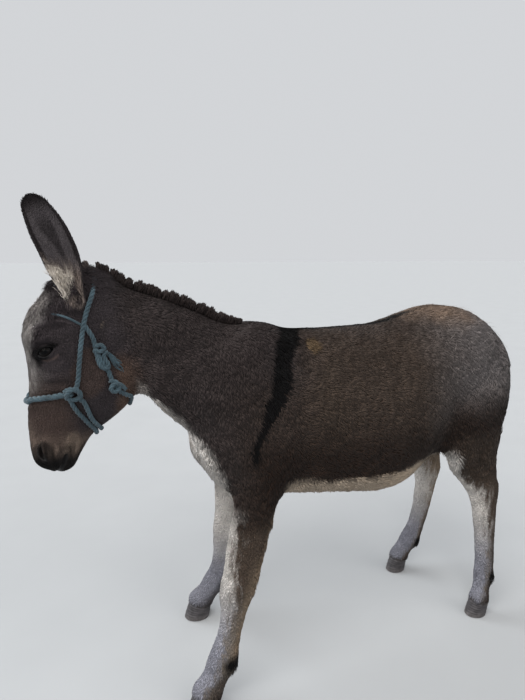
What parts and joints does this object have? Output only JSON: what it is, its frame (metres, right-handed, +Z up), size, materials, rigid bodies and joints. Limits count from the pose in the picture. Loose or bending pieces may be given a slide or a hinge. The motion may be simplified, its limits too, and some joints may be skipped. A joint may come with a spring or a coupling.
{
  "type": "donkey",
  "caption": "Life-size standing donkey with upright ears, short upright mane, tufted tail, shoulder stripe and a knotted rope halter",
  "frame": {"origin": "bottom centre of the bounding box, at the level of the hoof soles", "axes": "the donkey faces -X, its left side is towards -Y, +Z is up"},
  "size_m": [1.722, 0.5004, 1.4748],
  "materials": {
    "coat": "short dense hair, dark grey-brown",
    "pale_coat": "short pale hair of the muzzle",
    "dark_hair": "coarse dark hair of the mane and tail",
    "horn": "dark grey horn, worn dull",
    "eye": "wet and glossy",
    "rope": "weathered blue-grey laid rope"
  },
  "bodies": {
    "root": {"shoulders": "coat", "barrel": "coat", "croup": "coat", "neck": "coat", "mane": "dark_hair", "tail": "coat", "tail_switch": "dark_hair", "head": "coat", "muzzle": "pale_coat", "eye_left": "eye", "ear_left": "coat", "eye_right": "eye", "ear_right": "coat", "forelock": "dark_hair", "fore_left_upper": "coat", "fore_left_shank": "coat", "fore_left_pastern": "coat", "fore_left_hoof": "horn", "fore_right_upper": "coat", "fore_right_shank": "coat", "fore_right_pastern": "coat", "fore_right_hoof": "horn", "hind_left_upper": "coat", "hind_left_shank": "coat", "hind_left_pastern": "coat", "hind_left_hoof": "horn", "hind_right_upper": "coat", "hind_right_shank": "coat", "hind_right_pastern": "coat", "hind_right_hoof": "horn", "halter_knot_left": "rope", "halter_knot_right": "rope", "halter_throat_knot": "rope", "halter_headstall": "rope", "halter_noseband": "rope", "halter_throat": "rope", "halter_browband_left": "rope", "halter_browband_right": "rope", "halter_chin_front": "rope", "halter_chin_rear": "rope"}
  },
  "joints": []
}
